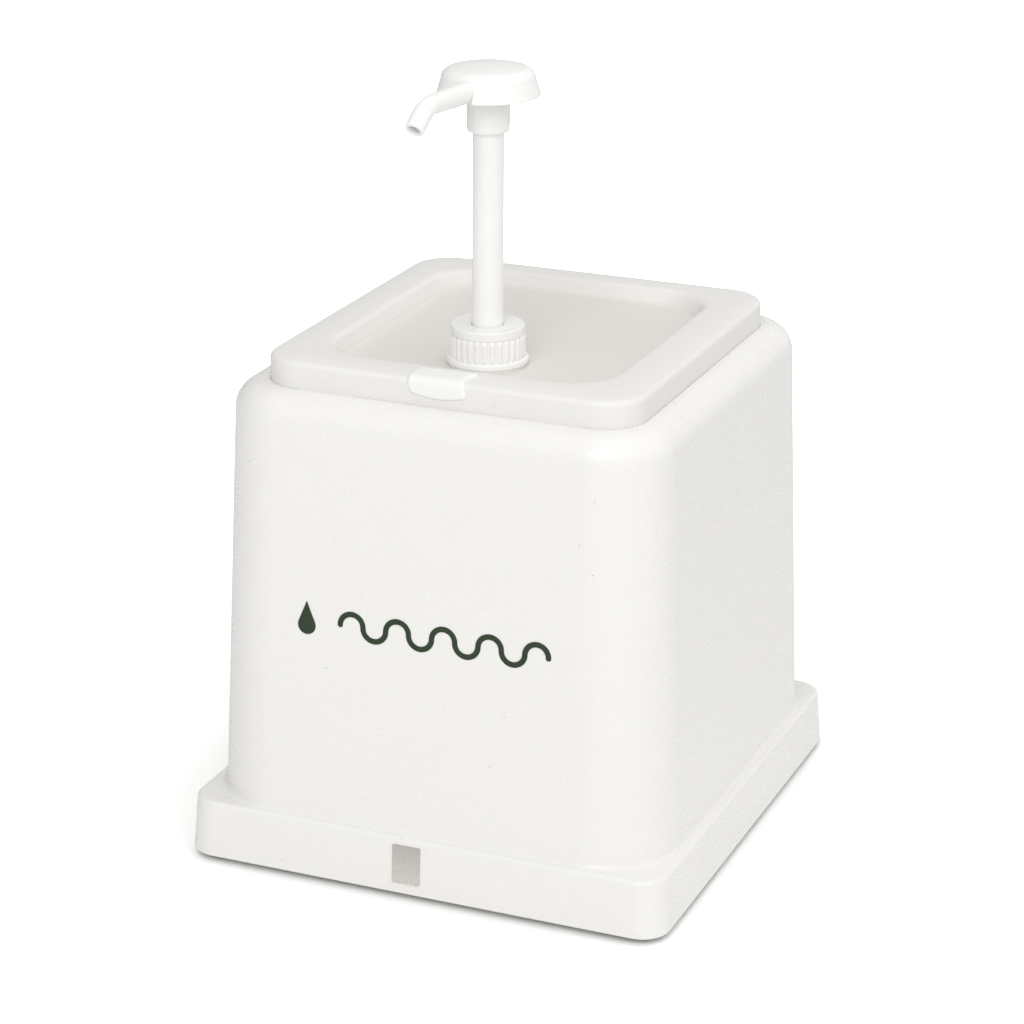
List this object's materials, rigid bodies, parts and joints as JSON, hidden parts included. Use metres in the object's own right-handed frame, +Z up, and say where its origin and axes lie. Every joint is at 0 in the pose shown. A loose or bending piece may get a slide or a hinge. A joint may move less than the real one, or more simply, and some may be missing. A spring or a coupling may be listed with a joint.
{
  "type": "condiment pump dispenser",
  "caption": "Free-standing housing on a plinth that holds a lidded sauce bucket, with a hand pump through the lid whose head is pressed to dispense through a swivelling spout.",
  "frame": {"origin": "on the surface the feet stand on, under the middle of the plinth", "axes": "+Z up; the front face with the print faces -Y; +X to the right of a person at the front"},
  "size_m": [0.296, 0.312, 0.4636],
  "materials": {
    "housing_plastic": "satin gloss moulded white",
    "plate_plastic": "matt moulded off-white",
    "foot_rubber": "matt black rubber",
    "screw_steel": "zinc plated steel",
    "print_ink": "matt screen-printed ink",
    "badge_grey": "satin grey plate",
    "bucket_plastic": "milky satin polypropylene",
    "handle_steel": "galvanised wire",
    "grip_plastic": "white moulded grip",
    "lid_plastic": "milky translucent satin polypropylene",
    "tab_plastic": "bright white gloss",
    "pump_plastic": "bright white satin gloss",
    "inner_plastic": "natural polypropylene",
    "gasket_rubber": "soft red rubber",
    "tube_plastic": "natural polyethylene tube",
    "ball_steel": "polished stainless steel",
    "spring_steel": "stainless spring wire",
    "seal_rubber": "black food-grade rubber"
  },
  "bodies": {
    "housing": {"housing_shell": "housing_plastic", "base_plate": "plate_plastic", "foot_front_left": "foot_rubber", "foot_front_right": "foot_rubber", "foot_back_left": "foot_rubber", "foot_back_right": "foot_rubber", "foot_screws": "screw_steel", "front_print": "print_ink", "badge": "badge_grey"},
    "bucket": {"bucket": "bucket_plastic"},
    "handle": {"bail_handle": "handle_steel", "handle_grip": "grip_plastic"},
    "lid": {"lid": "lid_plastic", "seal_tab": "tab_plastic", "neck": "inner_plastic", "neck_gasket": "gasket_rubber", "neck_nut": "inner_plastic"},
    "pump": {"pump_cylinder": "inner_plastic", "cylinder_gasket": "gasket_rubber", "guide_bush": "pump_plastic", "foot_valve": "inner_plastic", "dip_tube": "tube_plastic", "spring": "spring_steel"},
    "cap": {"pump_cap": "pump_plastic"},
    "plunger": {"piston": "inner_plastic", "piston_seal": "seal_rubber", "stem": "pump_plastic"},
    "head": {"spout_body": "pump_plastic", "head_cap": "pump_plastic"},
    "inlet_valve": {"inlet_ball": "ball_steel"},
    "outlet_valve": {"outlet_ball": "ball_steel"}
  },
  "joints": [
    {"name": "bucket_lift", "type": "slide", "parent": "housing", "child": "bucket", "axis": [0, 0, 1], "range_m": [0, 0.285]},
    {"name": "handle_swing", "type": "hinge", "parent": "bucket", "child": "handle", "pos_m": [0, 0, 0.2643], "axis": [-1, 0, 0], "range_deg": [0, 12]},
    {"name": "lid_lift", "type": "slide", "parent": "bucket", "child": "lid", "axis": [0, 0, 1], "range_m": [0, 0.285]},
    {"name": "pump_lift", "type": "slide", "parent": "lid", "child": "pump", "axis": [0, 0, 1], "range_m": [0, 0.01]},
    {"name": "cap_turn", "type": "hinge", "parent": "pump", "child": "cap", "pos_m": [0, -0.052, 0.3], "axis": [0, 0, 1], "range_deg": [0, 900]},
    {"name": "plunger_stroke", "type": "slide", "parent": "pump", "child": "plunger", "axis": [0, 0, -1], "range_m": [0, 0.11], "stiffness_N_per_m": 200, "springref_m": -0.05, "deforming": ["spring"]},
    {"name": "head_swivel", "type": "hinge", "parent": "plunger", "child": "head", "pos_m": [0, -0.052, 0.43], "axis": [0, 0, 1], "continuous": true},
    {"name": "inlet_ball_lift", "type": "slide", "parent": "pump", "child": "inlet_valve", "axis": [0, 0, 1], "range_m": [0, 0.004]},
    {"name": "outlet_ball_lift", "type": "slide", "parent": "plunger", "child": "outlet_valve", "axis": [0, 0, 1], "range_m": [0, 0.003]}
  ],
  "couplings": [
    {"joint": "pump_lift", "follows": "cap_turn", "m_per_rad": 0.0006366}
  ]
}
